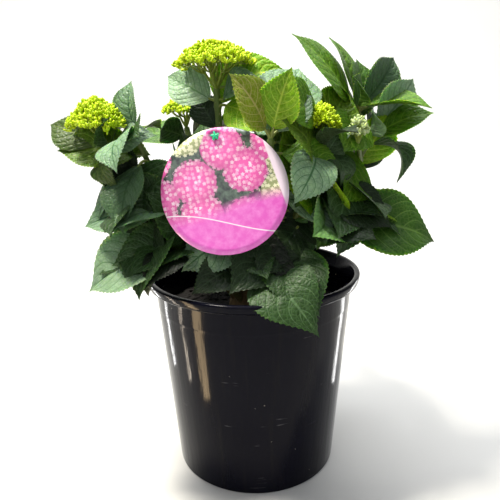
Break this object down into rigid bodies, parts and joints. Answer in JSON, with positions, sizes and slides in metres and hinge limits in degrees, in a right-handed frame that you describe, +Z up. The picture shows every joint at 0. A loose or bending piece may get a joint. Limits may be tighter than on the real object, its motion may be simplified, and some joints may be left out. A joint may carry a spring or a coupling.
{
  "type": "hydrangea shrub in a nursery pot",
  "caption": "Young hydrangea in a round black nursery pot: green canes, broad toothed leaves, flat bloom heads in bud and a round hanging plant tag.",
  "frame": {"origin": "centre of the pot's flat underside", "axes": "+Z up along the pot's axis, +Y to the back of the plant, +X to the right when the tag faces the viewer"},
  "size_m": [0.3383, 0.2563, 0.3978],
  "materials": {
    "pot_plastic": "gloss",
    "bark_mix": "matte",
    "old_wood": "matte",
    "green_stem": "satin",
    "bloom_buds": "matte",
    "foliage": "satin",
    "tag_card": "gloss",
    "tie_plastic": "satin"
  },
  "bodies": {
    "root": {"pot": "pot_plastic", "potting_mix": "bark_mix", "stem_foot": "old_wood", "cane_centre": "green_stem", "cane_left": "green_stem", "cane_low_left": "green_stem", "cane_front": "green_stem", "cane_centre_right": "green_stem", "cane_right": "green_stem", "cane_far_right": "green_stem", "cane_back_right": "green_stem", "cane_back": "green_stem", "cane_back_left": "green_stem", "bough_upper_left": "green_stem", "bough_front_left": "green_stem", "bough_top_right": "green_stem", "bough_low_right": "green_stem", "bough_bud": "green_stem", "bough_back_low_left": "green_stem", "bough_back_low_right": "green_stem", "bloom_centre": "bloom_buds", "bloom_left": "bloom_buds", "bloom_right": "bloom_buds", "bloom_small": "bloom_buds", "bloom_back": "bloom_buds", "bloom_back_left": "bloom_buds", "hang_tag": "tag_card", "tag_star": "tie_plastic", "tag_tie": "tie_plastic", "leaves_left": "foliage", "leaves_upper_left": "foliage", "leaves_low_left": "foliage", "leaves_centre": "foliage", "leaves_centre_right": "foliage", "leaves_right": "foliage", "leaves_top_right": "foliage", "leaves_far_right": "foliage", "leaves_low_right": "foliage", "leaves_front": "foliage", "leaves_front_left": "foliage", "leaves_inner": "foliage", "leaves_back_left": "foliage", "leaves_back": "foliage", "leaves_back_right": "foliage", "leaves_back_low_left": "foliage", "leaves_back_low_right": "foliage"}
  },
  "joints": []
}
